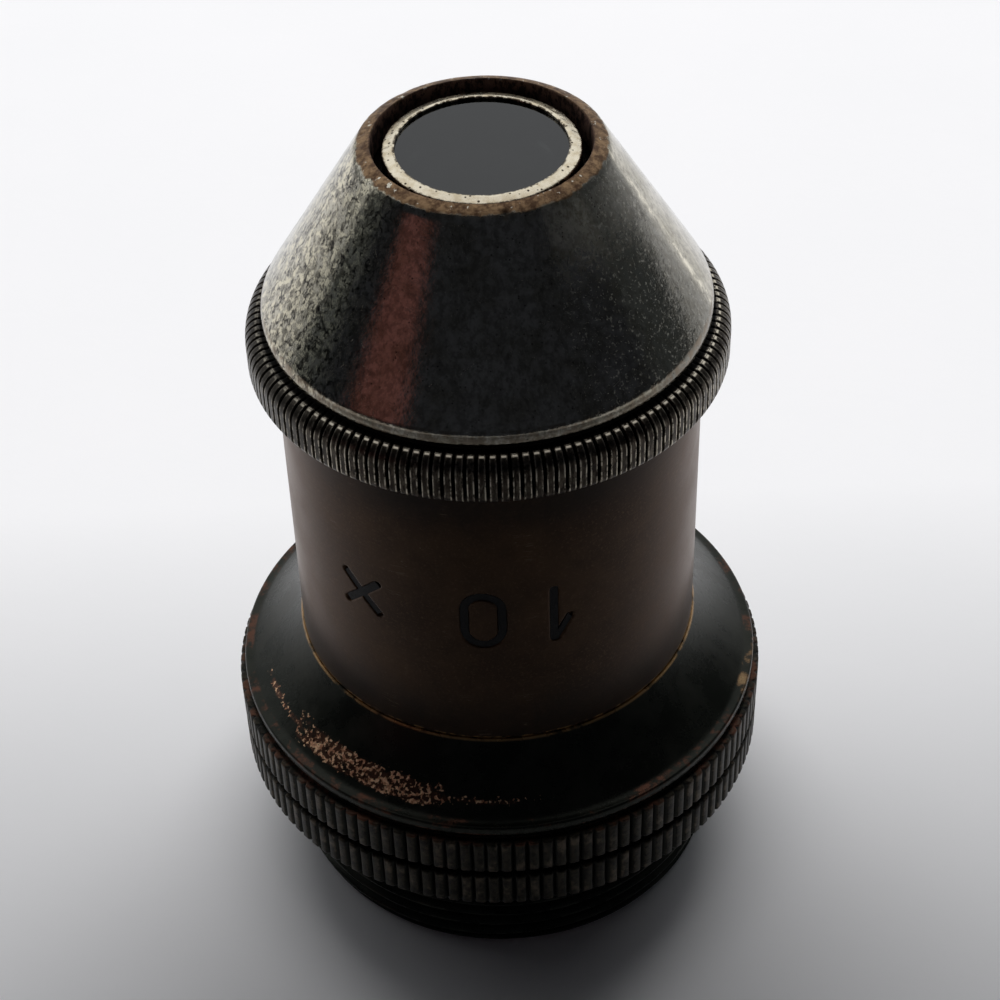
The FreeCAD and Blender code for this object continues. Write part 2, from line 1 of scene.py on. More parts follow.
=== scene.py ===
"""An antique microscope objective standing nose up on a pale sheet, lit softly from behind.

Lengths in this file are millimetres, turned into metres where a mesh, light or camera is made.
Azimuths run round the optical axis in degrees: 0 faces the camera (-Y) and 90 faces +X.
"""
import json
import math
import random

import bpy
import numpy as np
from mathutils import Matrix, Vector


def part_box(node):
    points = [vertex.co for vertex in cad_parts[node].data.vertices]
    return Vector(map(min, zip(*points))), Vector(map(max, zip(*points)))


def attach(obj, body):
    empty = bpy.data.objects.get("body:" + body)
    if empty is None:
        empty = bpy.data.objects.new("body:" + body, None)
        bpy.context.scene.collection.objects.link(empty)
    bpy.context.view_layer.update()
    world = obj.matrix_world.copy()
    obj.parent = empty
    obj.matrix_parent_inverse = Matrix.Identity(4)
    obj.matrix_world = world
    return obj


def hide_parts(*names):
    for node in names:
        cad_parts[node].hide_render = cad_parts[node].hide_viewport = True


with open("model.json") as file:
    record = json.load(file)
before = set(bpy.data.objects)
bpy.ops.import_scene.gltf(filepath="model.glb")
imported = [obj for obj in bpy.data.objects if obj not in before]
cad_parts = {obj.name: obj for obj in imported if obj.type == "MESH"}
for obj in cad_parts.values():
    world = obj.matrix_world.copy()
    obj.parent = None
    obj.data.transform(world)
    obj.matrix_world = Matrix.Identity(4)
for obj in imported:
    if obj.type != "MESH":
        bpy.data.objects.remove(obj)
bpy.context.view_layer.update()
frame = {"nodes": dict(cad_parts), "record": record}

MM = 0.001
rng = random.Random(38)


def box_mm(node):
    """Lowest and highest corner of a CAD node, in millimetres."""
    low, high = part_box(node)
    return low / MM, high / MM


# sizes read from the frame
ADAPTER_TOP = box_mm("thread_adapter")[1].z
COLLAR_LOW, COLLAR_HIGH = box_mm("barrel_collar")
BARREL_LOW, BARREL_HIGH = box_mm("barrel_tube")
CAP_LOW = box_mm("nose_cap")[0]
CELL_LOW = box_mm("front_cell")[0]

# radii, as the CAD has them
FLANGE = 12.24
BARREL = 9.0
RING = 10.1
ADAPTER_BORE = 7.5
COLLAR_SCREW = 8.9
NOSE_SCREW = 8.3

# edges, screws and teeth
EDGE = 0.12  # bevel of a turned edge
EASE = 0.03  # bevel of a corner that has none of its own
GAP = 0.03  # between faces that meet
RUNNING_GAP = 0.04  # round a screw in its socket
SCREW_PITCH = 0.5
SCREW_DEPTH = 0.22
FLANGE_TEETH = 126
FLANGE_CUT = 0.2
RING_TEETH = 142
RING_CUT = 0.17
SHARP = math.radians(50)

# the nose: radius and height of the cone's tip, its radius per height, bead, seam and ring
CONE_TIP = 5.0
CONE_TOP = 38.0
CONE_SLOPE = 0.605
BEAD_TOP = 31.04
BEAD_FLOOR = 30.48
RING_TOP = 30.11

# heights on the barrel: its seat for the nose, the lip under the cove, the upper band's top
BARREL_TOP = 28.0
LIP_FLOOR = 10.3
LIP_TOP = 10.75
BAND_TOP = 9.95


# ---------------------------------------------------------------- turned meshes

def softened(corners):
    """Round the corners of a closed outline.  A corner is (radius, height) or adds its bevel."""
    share = 0.45  # of an edge that the bevel at one end may take
    least = 1e-4
    points = []
    count = len(corners)
    for index, corner in enumerate(corners):
        here = np.array(corner[:2], float)
        bevel = corner[2] if len(corner) > 2 else EASE
        before = np.array(corners[index - 1][:2], float) - here
        after = np.array(corners[(index + 1) % count][:2], float) - here
        reach = min(bevel, share * np.linalg.norm(before), share * np.linalg.norm(after))
        if reach < least:
            points.append(here)
            continue
        first = here + before / np.linalg.norm(before) * reach
        last = here + after / np.linalg.norm(after) * reach
        for t in (0.0, 0.33, 0.67, 1.0):
            points.append(first * (1 - t) ** 2 + here * 2 * t * (1 - t) + last * t * t)
    return np.array(points)


def bow(start, end, radius, side, count=10):
    """Corners along an arc from start to end; side +1 bulges left of travel, -1 right."""
    start, end = np.array(start, float), np.array(end, float)
    chord = end - start
    half = np.linalg.norm(chord) / 2
    left = np.array([-chord[1], chord[0]]) / (2 * half)
    centre = (start + end) / 2 - left * side * math.sqrt(radius**2 - half**2)
    first = math.atan2(*(start - centre)[::-1])
    sweep = -side * 2 * math.asin(half / radius)
    turns = [first + sweep * k / count for k in range(count + 1)]
    return [(centre[0] + radius * math.cos(a), centre[1] + radius * math.sin(a), 0.0)
            for a in turns]


def refined(points, bands, coarse=1.2):
    """Split long edges to coarse, or finer in a band: (low, high, step, least radius)."""
    fine = []
    for here, there in zip(points, np.roll(points, -1, axis=0)):
        radius, height = (here + there) / 2
        steps = [step for low, high, step, least in bands
                 if low <= height <= high and radius > least]
        step = min(steps, default=coarse)
        pieces = max(1, math.ceil(np.linalg.norm(there - here) / step))
        fine += [here + (there - here) * k / pieces for k in range(pieces)]
    return np.array(fine)


def normals(points):
    """Outward unit normals of an outline whose solid lies on the left of travel."""
    along = np.roll(points, -1, axis=0) - np.roll(points, 1, axis=0)
    out = np.stack([along[:, 1], -along[:, 0]], axis=1)
    return out / np.maximum(np.linalg.norm(out, axis=1, keepdims=True), 1e-9)


def placed(name, mesh, body):
    """An object for a new mesh, smooth but for its sharp edges, riding on a body."""
    mesh.validate()
    mesh.shade_smooth()
    mesh.set_sharp_from_angle(angle=SHARP)
    piece = bpy.data.objects.new(name, mesh)
    bpy.context.scene.collection.objects.link(piece)
    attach(piece, body)
    return piece


def turned(name, body, angles, radius, height, groove=None):
    """A closed mesh from grids of radius and height; groove is kept for the materials."""
    rows, columns = radius.shape
    coords = np.stack([radius * np.sin(angles), -radius * np.cos(angles), height], axis=-1)
    low = np.arange(rows * columns).reshape(rows, columns)
    up = np.roll(low, -1, axis=0)
    quads = np.stack([low, np.roll(low, -1, axis=1), np.roll(up, -1, axis=1), up], axis=-1)
    mesh = bpy.data.meshes.new(name)
    mesh.vertices.add(rows * columns)
    mesh.vertices.foreach_set("co", (coords * MM).astype(np.float32).ravel())
    mesh.loops.add(rows * columns * 4)
    mesh.loops.foreach_set("vertex_index", quads.reshape(-1).astype(np.int32))
    mesh.polygons.add(rows * columns)
    starts = np.arange(0, rows * columns * 4, 4, dtype=np.int32)
    mesh.polygons.foreach_set("loop_start", starts)
    mesh.update(calc_edges=True)
    piece = placed(name, mesh, body)
    if groove is not None:
        worn = mesh.attributes.new("groove", "FLOAT", "POINT")
        worn.data.foreach_set("value", groove.astype(np.float32).ravel())
    return piece


def plain_grid(points, angles):
    """Radius and height grids of an unpatterned turned part."""
    ones = np.ones(len(angles))
    return np.outer(points[:, 0], ones), np.outer(points[:, 1], ones)


def even_angles(count):
    return np.linspace(-math.pi, math.pi, count, endpoint=False)


def tooth_angles(teeth, phases):
    """Angles at the same phases of every tooth."""
    return ((np.arange(teeth)[:, None] + np.array(phases)).ravel() / teeth * 2 - 1) * math.pi


def across_tooth(angles, teeth):
    """Where each angle lies on its tooth, from 0 on the crest to 1 in the root."""
    phase = (angles / math.pi + 1) / 2 * teeth
    return 1 - np.abs(2 * (phase % 1.0) - 1)


def flat_teeth(angles):
    """Depth of the flange's broad teeth with narrow V gaps, from 0 to 1."""
    crest, flank = 0.54, 0.46
    uneven = 1 + 0.15 * np.sin(angles * 7 + 1.3) * np.sin(angles * 23)
    return np.clip((across_tooth(angles, FLANGE_TEETH) - crest) / flank, 0, 1) * uneven


def reeded_teeth(angles):
    """Depth of the ring's steep-sided teeth, from 0 to 1."""
    crest, flank = 0.62, 0.34
    uneven = 1 + 0.12 * np.sin(angles * 5 + 0.4) * np.sin(angles * 31)
    side = np.clip((across_tooth(angles, RING_TEETH) - crest) / flank, 0, 1)
    return (3 * side**2 - 2 * side**3) * uneven


# where each tooth gets a column of vertices, from one root to the next
FLAT_PHASES = (0.0, 0.24, 0.29, 0.5, 0.71, 0.76)
REED_PHASES = (0.0, 0.2, 0.31, 0.36, 0.4, 0.44, 0.5, 0.56, 0.6, 0.64, 0.69, 0.8)


def knurled(points, angles, radius, floor, top):
    """Cut the flange's teeth between two heights; returns the radius and the cut."""
    reach = 0.01
    in_band = (points[:, 1:] > floor - reach) & (points[:, 1:] < top + reach)
    gaps = flat_teeth(angles)[None, :] * in_band
    cut = np.minimum(radius, FLANGE - FLANGE_CUT * gaps)
    return np.where(gaps > 0, cut, radius), gaps


def window(value, low, high, soft):
    """1 between low and high, falling to 0 over soft outside them."""
    rise = np.clip((value - low) / soft + 1, 0, 1)
    fall = np.clip((high - value) / soft + 1, 0, 1)
    return rise * fall


def threaded(angles, radius, height, rows, screw, extent):
    """Cut a right-handed V thread into some rows; returns the radius and the cut.

    screw is (crest radius, depth, pitch, height of its start), and extent is (lowest full
    turn, highest full turn, run-out).
    """
    crest, depth, pitch, start = screw
    flat, flank = 0.14, 0.74
    phase = (height - start) / pitch - angles[None, :] / (2 * math.pi)
    across = 1 - np.abs(2 * (phase % 1.0) - 1)
    turns = np.clip((across - flat) / flank, 0, 1) * rows[:, None] * window(height, *extent)
    cut = np.minimum(radius, crest - depth * turns)
    return np.where(rows[:, None], cut, radius), turns


# ---------------------------------------------------------------- pieces

def thread_adapter():
    """Society thread with a true helix, undercut, and the lower knurled band."""
    thread, depth, pitch, start = 10.13, 0.45, 0.7056, 0.2
    lead, thread_top, run_out = 0.45, 5.05, 0.3
    undercut, relief, ledge, bevel = 9.6, 0.15, 3.0, 0.4
    floor, top = 5.9, ADAPTER_TOP
    socket = COLLAR_SCREW + RUNNING_GAP
    corners = [
        (ADAPTER_BORE + bevel, 0.0), (thread - lead, 0.0), (thread, lead),
        (thread, thread_top), (undercut, thread_top + relief), (undercut, floor + relief),
        (10.45, floor), (FLANGE, floor, EDGE), (FLANGE, top, EDGE), (socket, top),
        (socket, ledge), (ADAPTER_BORE, ledge), (ADAPTER_BORE, bevel),
    ]
    bands = [(0.0, 5.1, 0.07, 9.65), (floor, top, 0.3, 11.9)]
    points = refined(softened(corners), bands)
    angles = tooth_angles(FLANGE_TEETH, FLAT_PHASES)
    radius, height = plain_grid(points, angles)
    radius, gaps = knurled(points, angles, radius, floor, top)
    outside = (points[:, 0] > undercut + 0.05) & (points[:, 1] < thread_top + 0.05)
    radius, turns = threaded(angles, radius, height, outside, (thread, depth, pitch, start),
                             (run_out, thread_top - run_out, run_out))
    piece = turned("thread_adapter_body", "mount", angles, radius, height,
                   np.maximum(gaps, turns))
    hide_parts("thread_adapter")
    return piece


def barrel_collar():
    """Upper knurled band, neck groove, rolled lip and coved top."""
    seat, floor, top = ADAPTER_TOP + GAP, 8.1, BAND_TOP
    low, foot = COLLAR_LOW.z, COLLAR_HIGH.z
    groove, neck, lip, socket = 11.86, 11.78, 11.95, 8.22
    socket_floor = 9.2
    corners = [
        (ADAPTER_BORE, low), (COLLAR_SCREW, low, EDGE), (COLLAR_SCREW, seat),
        (groove, seat), (groove, floor), (FLANGE, floor, EDGE), (FLANGE, top, EDGE),
        (neck, top), (neck, LIP_FLOOR), (lip, LIP_FLOOR, 0.08), (lip, LIP_TOP, 0.14),
        *bow((11.6, LIP_TOP), (9.05, foot), 9.0, 1, 14),
        (socket, foot), (socket, socket_floor), (ADAPTER_BORE, socket_floor),
    ]
    bands = [(low, seat, 0.06, 8.6), (floor, top, 0.3, 11.9)]
    points = refined(softened(corners), bands, 0.4)
    angles = tooth_angles(FLANGE_TEETH, FLAT_PHASES)
    radius, height = plain_grid(points, angles)
    radius, gaps = knurled(points, angles, radius, floor, top)
    screw = (points[:, 0] > COLLAR_SCREW - 0.25) & (points[:, 1] < seat - 0.1)
    radius, turns = threaded(angles, radius, height, screw,
                             (COLLAR_SCREW, SCREW_DEPTH, SCREW_PITCH, low),
                             (low + 0.2, seat - 0.4, 0.2))
    piece = turned("barrel_collar_body", "barrel", angles, radius, height,
                   np.maximum(gaps, turns))
    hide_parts("barrel_collar")
    return piece


# the engraved mark: height of its middle, height of a figure, and half a stroke's width
MARK_HEIGHT = 20.55
MARK_SIZE = 3.1
PEN = 0.17
ROUND_PART = 0.62  # half width of the zero and of the sign, per half height


def to_segment(across, up, start, end):
    """Distance from points to a straight stroke."""
    start, end = np.array(start), np.array(end)
    along = end - start
    t = ((across - start[0]) * along[0] + (up - start[1]) * along[1]) / (along @ along)
    t = np.clip(t, 0, 1)
    return np.hypot(across - start[0] - along[0] * t, up - start[1] - along[1] * t)


def figure_one(across, up):
    """Distance outside the stroke, as for the other figures; the mark is upside down."""
    half = MARK_SIZE / 2
    stem = to_segment(across, up, (0, PEN - half), (0, half - PEN))
    serif = to_segment(across, up, (0.12, 0.2 - half), (half * 0.44, half * -0.2))
    return np.minimum(stem, serif) - PEN


def figure_zero(across, up):
    half = MARK_SIZE / 2
    width = half * ROUND_PART
    straight = half - width
    middle = to_segment(across, up, (0, -straight), (0, straight))
    return np.abs(middle - (width - PEN)) - PEN


def times_sign(across, up):
    arm = MARK_SIZE / 2 * ROUND_PART - PEN * 0.75
    rising = to_segment(across, up, (-arm, -arm), (arm, arm))
    falling = to_segment(across, up, (-arm, arm), (arm, -arm))
    return np.minimum(rising, falling) - PEN


# azimuth of each figure
FIGURES = ((15, figure_one), (-4, figure_zero), (-39, times_sign))


def engraved_depth(angles, height):
    """Depth of the hand-cut mark over the barrel's side, from 0 to 1."""
    depth = np.zeros_like(height)
    wall = 0.07
    for azimuth, figure in FIGURES:
        across = (angles[None, :] - math.radians(azimuth)) * BARREL
        outside = figure(across, height - MARK_HEIGHT)
        depth = np.maximum(depth, np.clip(0.5 - outside / wall, 0, 1))
    return depth


FINE = 0.055  # vertex spacing across the engraving


def barrel_angles():
    """Even angles round the back, and closer ones across each engraved figure."""
    angles = set(np.round(even_angles(288), 5))
    reach = 1.35 / BARREL
    for azimuth, _ in FIGURES:
        middle = math.radians(azimuth)
        angles |= set(np.round(np.arange(middle - reach, middle + reach, FINE / BARREL), 5))
    return np.array(sorted(angles))


def barrel_tube():
    """Lacquered tube with its screwed nose spigot and the engraved mark."""
    low, foot, seat, top = BARREL_LOW.z, 13.32, BARREL_TOP, BARREL_HIGH.z
    spigot, bore, wide_bore, step = 8.2, 7.05, 7.35, 12.3
    bevel, engraving = 0.08, 0.16
    corners = [
        (wide_bore, low), (spigot, low), (spigot, foot), (BARREL, foot, bevel),
        (BARREL, seat, bevel), (NOSE_SCREW, seat), (NOSE_SCREW, top, EDGE), (bore, top),
        (bore, step), (wide_bore, step),
    ]
    reach = MARK_SIZE * 0.53
    bands = [(MARK_HEIGHT - reach, MARK_HEIGHT + reach, FINE, 8.9), (seat + 0.1, top, 0.06, 8.0)]
    points = refined(softened(corners), bands, 0.8)
    angles = barrel_angles()
    radius, height = plain_grid(points, angles)
    side = points[:, 0] > BARREL - 0.001
    cut = engraved_depth(angles, height) * side[:, None]
    radius = radius - engraving * cut
    screw = (points[:, 0] > NOSE_SCREW - 0.3) & (points[:, 1] > seat + 0.05)
    radius, turns = threaded(angles, radius, height, screw,
                             (NOSE_SCREW, SCREW_DEPTH, SCREW_PITCH, seat),
                             (seat + 0.3, top - 0.15, 0.15))
    piece = turned("barrel_tube_body", "barrel", angles, radius, height, np.maximum(cut, turns))
    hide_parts("barrel_tube")
    return piece


def nicks(points, angles, places):
    """Depth of small dents; a place is (azimuth, radius, height, size, depth)."""
    depth = np.zeros((len(points), len(angles)))
    for azimuth, radius, height, extent, deep in places:
        around = (angles[None, :] - math.radians(azimuth)) * radius
        away = np.hypot(points[:, :1] - radius, points[:, 1:] - height)
        depth += deep * np.exp(-(around**2 + away**2) / extent**2)
    return depth


def scattered(count, radii, heights, extents, depths):
    """Random places for dents, as nicks() takes them."""
    return [(rng.uniform(-180, 180), rng.uniform(*radii), rng.uniform(*heights),
             rng.uniform(*extents), rng.uniform(*depths)) for _ in range(count)]


def pushed_in(points, radius, height, depth):
    """Move a surface inward along its normals; returns radius and height."""
    out = normals(points)
    return radius - depth * out[:, :1], height - depth * out[:, 1:]


def nose_cap():
    """Cone, rim, bead and seam over the rounded knurled ring."""
    floor, rim_top = CAP_LOW.z, 38.2
    socket, seam, hole, cell = NOSE_SCREW + RUNNING_GAP, 9.16, 4.38, 5.04
    cell_top, cell_floor, shoulder = 36.9, 34.0, 31.45
    corners = [
        (socket, floor, 0.1),
        *bow((9.78, floor), (RING, 28.35), 0.36, -1, 5),
        *bow((RING, 29.3), (9.52, RING_TOP), 0.85, -1, 8), (seam, RING_TOP),
        (seam, BEAD_FLOOR), *bow((9.33, BEAD_FLOOR), (9.21, BEAD_TOP), 0.8, -1, 6),
        *bow((4.98, 37.97), (4.42, rim_top), 1.6, -1, 8),
        (hole, rim_top - 0.05), (hole, cell_top), (cell, cell_top), (cell, cell_floor),
        (5.9, cell_floor), (7.7, shoulder), (socket, shoulder),
    ]
    bands = [(floor, 30.1, 0.16, 9.5), (31.0, 37.9, 0.35, 4.9), (37.6, 38.3, 0.08, 4.3)]
    points = refined(softened(corners), bands, 0.5)
    angles = tooth_angles(RING_TEETH, REED_PHASES)
    radius, height = plain_grid(points, angles)
    on_ring = (points[:, 0] > 9.5) & (points[:, 1] < RING_TOP + 0.01)
    gaps = reeded_teeth(angles)[None, :] * on_ring[:, None]
    places = scattered(26, (4.45, 5.0), (37.95, 38.2), (0.08, 0.25), (0.02, 0.06))
    cone = [rng.uniform(5.2, 9.0) for _ in range(22)]
    places += [(rng.uniform(-180, 180), across, CONE_TOP - (across - CONE_TIP) / CONE_SLOPE,
                rng.uniform(0.06, 0.16), rng.uniform(0.01, 0.025)) for across in cone]
    radius, height = pushed_in(points, radius, height,
                               RING_CUT * gaps + nicks(points, angles, places))
    across = across_tooth(angles, RING_TEETH)[None, :] * on_ring[:, None]
    piece = turned("nose_cap_body", "nose", angles, radius, height, across)
    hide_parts("nose_cap")
    return piece


def front_cell():
    """Silvered cell whose burnished bezel holds the front glass."""
    low, shoulder, seat = CELL_LOW.z, 36.87, 37.82
    bore, side, bezel, clear = 3.77, 4.98, 3.94, 3.43
    corners = [
        (bore, low), (side, low), (side, shoulder), (bezel, shoulder), (bezel, 37.84, 0.06),
        (3.54, 37.953, 0.08), (clear, 37.93, 0.03), (clear, seat, 0.01), (bore, seat, 0.0),
    ]
    points = refined(softened(corners), [(37.5, 38.0, 0.06, 3.4)], 0.5)
    angles = even_angles(360)
    radius, height = plain_grid(points, angles)
    places = scattered(40, (3.5, 3.95), (37.7, 37.98), (0.05, 0.14), (0.01, 0.03))
    depth = nicks(points, angles, places) * (points[:, 1:] > 37.4)
    radius, height = pushed_in(points, radius, height, depth)
    piece = turned("front_cell_body", "front_group", angles, radius, height)
    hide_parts("front_cell")
    return piece


# each lens: node, body, material, radius, then its back and front faces as (height on the
# axis, curve); a curve above 0 falls away from the axis, below 0 rises, and 0 is flat
LENSES = (
    ("front_flint_lens", "front_group", "flint_glass", 3.74, (37.0, 8.5), (37.8, 0.0)),
    ("front_crown_lens", "front_group", "crown_glass", 3.74, (34.8, -8.5), (36.99, 8.5)),
    ("rear_flint_lens", "barrel", "flint_glass", 4.95, (22.55, 12.0), (23.55, 0.0)),
    ("rear_crown_lens", "barrel", "crown_glass", 4.95, (19.95, -14.0), (22.54, 12.0)),
)
LENS_RINGS = 20
LENS_SIDES = 144


def face_height(face, radius):
    """Height of a spherical or flat lens face at a radius."""
    height, curve = face
    if curve == 0:
        return height
    sag = abs(curve) - math.sqrt(curve**2 - radius**2)
    return height - math.copysign(sag, curve)


def lens(node, body, material, rim, back, front):
    """A lens with finely stepped faces and one vertex at each pole."""
    radii = [rim * (ring + 1) / LENS_RINGS for ring in range(LENS_RINGS)]
    outline = [(radius, face_height(back, radius)) for radius in radii]
    outline += [(radius, face_height(front, radius)) for radius in reversed(radii)]
    angles = even_angles(LENS_SIDES)
    coords = [(radius * math.sin(a) * MM, -radius * math.cos(a) * MM, height * MM)
              for radius, height in outline for a in angles]
    rows = [[row * LENS_SIDES + side for side in range(LENS_SIDES)]
            for row in range(len(outline))]
    coords += [(0, 0, back[0] * MM), (0, 0, front[0] * MM)]
    back_pole, front_pole = len(coords) - 2, len(coords) - 1
    faces = []
    for side in range(LENS_SIDES):
        beside = (side + 1) % LENS_SIDES
        faces.append((back_pole, rows[0][beside], rows[0][side]))
        faces.append((rows[-1][side], rows[-1][beside], front_pole))
        faces += [(low[side], low[beside], high[beside], high[side])
                  for low, high in zip(rows, rows[1:])]
    mesh = bpy.data.meshes.new(node + "_body")
    mesh.from_pydata(coords, [], faces)
    piece = placed(node + "_body", mesh, body)
    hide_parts(node)
    return piece


# ---------------------------------------------------------------- materials

# a Mix node's two inputs and its output for each kind of value
MIX_SOCKETS = {"FLOAT": (2, 3, 0), "RGBA": (6, 7, 2)}


class Nodes:
    """Shorthand for a node tree.  Each method adds a node and returns its output socket."""

    def __init__(self, tree):
        self.tree = tree

    def feed(self, socket, value):
        """Link a socket into an input, or set a constant on it."""
        if isinstance(value, bpy.types.NodeSocket):
            self.tree.links.new(value, socket)
        elif isinstance(value, tuple) and len(socket.default_value) == 4:
            socket.default_value = (*value, 1.0)
        else:
            socket.default_value = value

    def math(self, operation, first, second=0.0):
        node = self.tree.nodes.new("ShaderNodeMath")
        node.operation = operation
        self.feed(node.inputs[0], first)
        self.feed(node.inputs[1], second)
        return node.outputs[0]

    def azimuth_of(self, x, y):
        """Degrees round the optical axis: 0 toward the camera, 90 toward +X."""
        turn = self.math("ARCTAN2", x, self.math("MULTIPLY", y, -1.0))
        return self.math("MULTIPLY", turn, 180 / math.pi)

    def step(self, value, low, high):
        """0 below low, 1 above high, smooth between; low above high turns it round."""
        node = self.tree.nodes.new("ShaderNodeMapRange")
        node.interpolation_type = "SMOOTHSTEP"
        self.feed(node.inputs["Value"], value)
        node.inputs["From Min"].default_value = min(low, high)
        node.inputs["From Max"].default_value = max(low, high)
        node.inputs["To Min"].default_value = 0.0 if low < high else 1.0
        node.inputs["To Max"].default_value = 1.0 if low < high else 0.0
        return node.outputs[0]

    def inside(self, value, low, high, soft):
        """1 where value lies between low and high, with soft edges."""
        return self.both(self.step(value, low - soft, low + soft),
                         self.step(value, high + soft, high - soft))

    def both(self, *masks):
        product = masks[0]
        for mask in masks[1:]:
            product = self.math("MULTIPLY", product, mask)
        return product

    def either(self, *masks):
        highest = masks[0]
        for mask in masks[1:]:
            highest = self.math("MAXIMUM", highest, mask)
        return highest

    def mix(self, kind, mask, off, on):
        """Off where the mask is 0, on where it is 1."""
        off_socket, on_socket, result = MIX_SOCKETS[kind]
        node = self.tree.nodes.new("ShaderNodeMix")
        node.data_type = kind
        self.feed(node.inputs[0], mask)
        self.feed(node.inputs[off_socket], off)
        self.feed(node.inputs[on_socket], on)
        return node.outputs[result]

    def blend(self, mask, off, on):
        """Mix two colours."""
        return self.mix("RGBA", mask, off, on)

    def between(self, mask, off, on):
        """Mix two numbers."""
        return self.mix("FLOAT", mask, off, on)


class Paint(Nodes):
    """One material in the piece's own coordinates, in millimetres."""

    def __init__(self, name, metallic=0.0):
        self.material = bpy.data.materials.new(name)
        self.material.use_nodes = True
        super().__init__(self.material.node_tree)
        self.shader = self.tree.nodes["Principled BSDF"]
        self.shader.inputs["Metallic"].default_value = metallic
        scale = self.tree.nodes.new("ShaderNodeVectorMath")
        scale.operation = "SCALE"
        scale.inputs["Scale"].default_value = 1 / MM
        coords = self.tree.nodes.new("ShaderNodeTexCoord")
        self.tree.links.new(coords.outputs["Object"], scale.inputs[0])
        self.place = scale.outputs[0]
        split = self.tree.nodes.new("ShaderNodeSeparateXYZ")
        self.tree.links.new(self.place, split.inputs[0])
        x, y, self.height = split.outputs
        self.azimuth = self.azimuth_of(x, y)
        self.radius = self.math("SQRT", self.math("ADD", self.math("MULTIPLY", x, x),
                                                  self.math("MULTIPLY", y, y)))

    def stretched(self, stretch):
        node = self.tree.nodes.new("ShaderNodeMapping")
        node.inputs["Scale"].default_value = stretch
        self.tree.links.new(self.place, node.inputs["Vector"])
        return node.outputs[0]

    def noise(self, scale, detail=6.0, roughness=0.6, stretch=(1, 1, 1), warp=0.0):
        """Cloudy noise with about scale features per millimetre before the stretch."""
        node = self.tree.nodes.new("ShaderNodeTexNoise")
        node.inputs["Scale"].default_value = scale
        node.inputs["Detail"].default_value = detail
        node.inputs["Roughness"].default_value = roughness
        node.inputs["Distortion"].default_value = warp
        self.tree.links.new(self.stretched(stretch), node.inputs["Vector"])
        return node.outputs[0]

    def cells(self, scale, feature="F1", stretch=(1, 1, 1)):
        """Distance from scattered points, or from the cracks between their cells."""
        node = self.tree.nodes.new("ShaderNodeTexVoronoi")
        node.feature = feature
        node.inputs["Scale"].default_value = scale
        self.tree.links.new(self.stretched(stretch), node.inputs["Vector"])
        return node.outputs["Distance"]

    def groove(self):
        """How deep in a knurl, thread or engraving the surface is, from 0 to 1."""
        node = self.tree.nodes.new("ShaderNodeAttribute")
        node.attribute_name = "groove"
        return node.outputs["Fac"]

    def wiggles(self, scale, stretch, width):
        """Thin wandering lines where a noise passes its middle value."""
        line = self.noise(scale, 2.0, 0.4, stretch, 0.6)
        distance = self.math("ABSOLUTE", self.math("SUBTRACT", line, 0.5))
        return self.step(distance, width, 0.0)

    def relief(self, *layers):
        """Bump from (height socket, depth in millimetres) layers, one on another."""
        normal = None
        for height, depth in layers:
            node = self.tree.nodes.new("ShaderNodeBump")
            node.inputs["Distance"].default_value = depth * MM
            self.feed(node.inputs["Height"], height)
            if normal is not None:
                self.tree.links.new(normal, node.inputs["Normal"])
            normal = node.outputs[0]
        self.tree.links.new(normal, self.shader.inputs["Normal"])

    def finish(self, colour, roughness):
        self.feed(self.shader.inputs["Base Color"], colour)
        self.feed(self.shader.inputs["Roughness"], roughness)
        return self.material


def nickel_plate():
    """Worn nickel: pitted cone, brown rim where the plate has gone, a reeded ring with dirt and
    painted light.
    """
    paint = Paint("nickel_plate", metallic=1.0)
    stain = paint.step(paint.noise(0.7, 8.0, 0.72), 0.40, 0.66)
    mottle = paint.step(paint.noise(3.6, 6.0, 0.75, (1, 1, 0.55)), 0.44, 0.58)
    nickel = plate_colour(paint, stain, mottle)
    marks = paint.step(paint.cells(0.9, "DISTANCE_TO_EDGE", (1.3, 0.8, 1.1)), 0.014, 0.004)
    marks = paint.both(marks, paint.step(paint.noise(1.7, 3.0), 0.6, 0.66))
    rough = paint.between(stain, 0.08, 0.14)
    rough = paint.between(plate_haze(paint, mottle), rough, 0.36)
    rough = paint.between(marks, rough, 0.34)
    nickel, rough = nickel_ring(paint, nickel, rough, stain)
    nickel, rough = bare_rim(paint, nickel, rough)
    inside = cap_inside(paint)
    gap = paint.blend(mottle, (0.30, 0.19, 0.155), (0.07, 0.05, 0.045))
    nickel = paint.blend(inside, nickel, gap)
    rough = paint.between(inside, rough, 0.7)
    turning = paint.noise(1.0, 3.0, 0.5, (0.15, 0.15, 22))
    paint.relief((paint.noise(1.2, 4.0, 0.55), 0.012), (paint.noise(4.0, 5.0, 0.6), 0.009),
                 (turning, 0.0015))
    return paint.finish(nickel, rough)


def flecks_of(paint):
    """Small light flecks on the cone's right flank."""
    return paint.both(paint.step(paint.noise(6.0, 4.0, 0.7), 0.56, 0.64),
                      paint.inside(paint.azimuth, 22, 82, 12))


def plate_haze(paint, mottle):
    """1 where the plate is too worn to mirror: the right flank's top, and its flecks."""
    hazy = paint.both(paint.inside(paint.azimuth, 24, 79, 5),
                      paint.step(paint.math("ADD", paint.height, mottle), 34.6, 37.4))
    return paint.either(hazy, flecks_of(paint))


